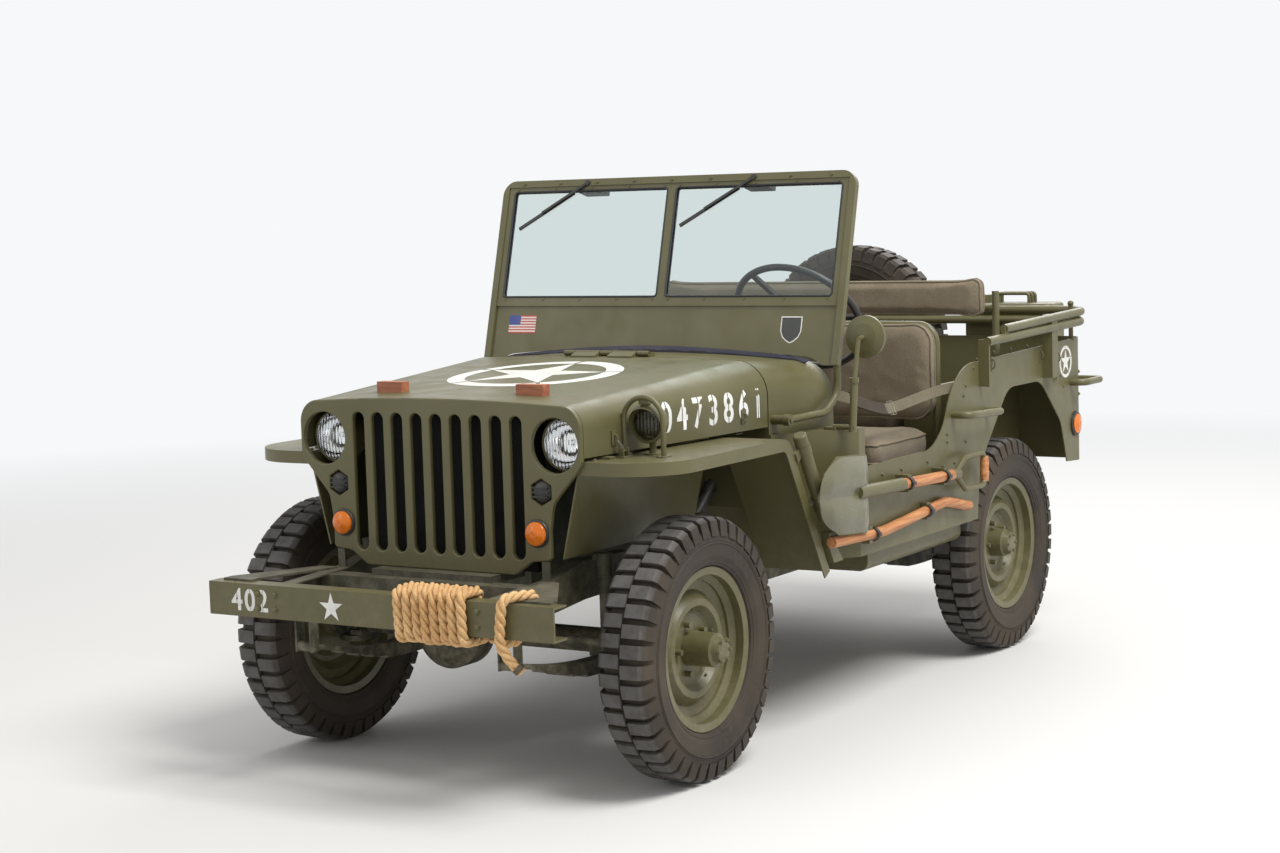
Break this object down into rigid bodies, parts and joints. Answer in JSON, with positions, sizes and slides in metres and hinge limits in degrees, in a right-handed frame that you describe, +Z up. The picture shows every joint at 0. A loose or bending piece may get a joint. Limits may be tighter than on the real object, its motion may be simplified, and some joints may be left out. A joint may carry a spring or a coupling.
{
  "type": "light military 4x4 car",
  "caption": "Open light military 4x4 car with folding windshield, lifting hood, steered front wheels, side tools and a spare wheel at the rear.",
  "frame": {"origin": "on the floor under the middle of the car's length and width, the rope on the bumper left out", "axes": "+X to the front of the car, +Y to its left, +Z up"},
  "size_m": [3.394, 1.576, 1.6309],
  "materials": {
    "olive": "satin",
    "wheel_paint": "satin",
    "chassis": "satin",
    "tyre": "matte",
    "engine_block": "rough",
    "black_metal": "satin",
    "black_plastic": "satin",
    "exhaust_steel": "dull",
    "wood": "oiled",
    "lamp_lens": "gloss",
    "glass": "clear",
    "canvas": "woven",
    "rope": "laid",
    "webbing": "woven"
  },
  "bodies": {
    "car_body": {"tyre_spare": "tyre", "wheel_spare": "wheel_paint", "frame": "chassis", "front_bumper": "olive", "front_axle": "chassis", "rear_axle": "chassis", "springs_and_dampers": "chassis", "engine": "engine_block", "radiator": "black_metal", "transmission": "engine_block", "exhaust": "exhaust_steel", "body_tub": "olive", "cowl": "olive", "grille": "olive", "front_lamps": "olive", "marker_lamps": "lamp_lens", "front_fenders": "olive", "steering_column_and_levers": "black_metal", "front_seat_frames": "olive", "front_seat_cushions": "canvas", "rear_seat_frame": "olive", "rear_seat_cushions": "canvas", "rear_carriers": "olive", "jerry_can": "olive", "rope_coil": "rope", "rope_wrap": "rope", "rope_tail": "rope", "fuel_tank": "olive", "canister": "olive", "tool_handles": "wood", "shovel_and_axe": "olive", "mirror": "olive", "top_bows": "olive", "grab_handles": "olive", "rear_lamps": "lamp_lens", "rear_bumpers_and_hook": "chassis", "safety_strap": "webbing"},
    "front_left_wheel": {"tyre_front_left": "tyre", "wheel_front_left": "wheel_paint"},
    "front_right_wheel": {"tyre_front_right": "tyre", "wheel_front_right": "wheel_paint"},
    "rear_left_wheel": {"tyre_rear_left": "tyre", "wheel_rear_left": "wheel_paint"},
    "rear_right_wheel": {"tyre_rear_right": "tyre", "wheel_rear_right": "wheel_paint"},
    "left_knuckle": {"knuckle_left": "chassis"},
    "right_knuckle": {"knuckle_right": "chassis"},
    "tie_rod_body": {"tie_rod": "chassis"},
    "steering_wheel_body": {"steering_wheel": "black_plastic"},
    "hood_body": {"hood": "olive", "hood_blocks": "wood"},
    "windshield_body": {"windshield_frame": "olive", "windshield_glass": "glass", "wipers": "black_metal"}
  },
  "joints": [
    {"name": "front_left_roll", "type": "hinge", "parent": "left_knuckle", "child": "front_left_wheel", "pos_m": [1.1, 0.613, 0.35834], "axis": [0, 1, 0], "continuous": true},
    {"name": "front_right_roll", "type": "hinge", "parent": "right_knuckle", "child": "front_right_wheel", "pos_m": [1.1, -0.613, 0.35834], "axis": [0, 1, 0], "continuous": true},
    {"name": "rear_left_roll", "type": "hinge", "parent": "car_body", "child": "rear_left_wheel", "pos_m": [-0.932, 0.613, 0.35834], "axis": [0, 1, 0], "continuous": true},
    {"name": "rear_right_roll", "type": "hinge", "parent": "car_body", "child": "rear_right_wheel", "pos_m": [-0.932, -0.613, 0.35834], "axis": [0, 1, 0], "continuous": true},
    {"name": "steer_left", "type": "hinge", "parent": "car_body", "child": "left_knuckle", "pos_m": [1.1, 0.532, 0.35834], "axis": [0, 0, 1], "range_deg": [-26, 26]},
    {"name": "steer_right", "type": "hinge", "parent": "car_body", "child": "right_knuckle", "pos_m": [1.1, -0.532, 0.35834], "axis": [0, 0, 1], "range_deg": [-26, 26]},
    {"name": "tie_rod_swing", "type": "hinge", "parent": "left_knuckle", "child": "tie_rod_body", "pos_m": [1.24, 0.532, 0.39], "axis": [0, 0, 1], "range_deg": [-26, 26]},
    {"name": "steering_wheel_turn", "type": "hinge", "parent": "car_body", "child": "steering_wheel_body", "pos_m": [-0.07, 0.345, 1.178], "axis": [-0.7799, 0, 0.6259], "range_deg": [-365, 365]},
    {"name": "hood_lift", "type": "hinge", "parent": "car_body", "child": "hood_body", "pos_m": [0.515, 0, 1.105], "axis": [0, -1, 0], "range_deg": [0, 115]},
    {"name": "windshield_fold", "type": "hinge", "parent": "car_body", "child": "windshield_body", "pos_m": [0.492, 0, 0.915], "axis": [0, -1, 0], "range_deg": [-106.5, 0]}
  ],
  "couplings": [
    {"joint": "steer_right", "follows": "steer_left", "ratio": 1},
    {"joint": "tie_rod_swing", "follows": "steer_left", "ratio": -1},
    {"joint": "steering_wheel_turn", "follows": "steer_left", "ratio": 14}
  ]
}
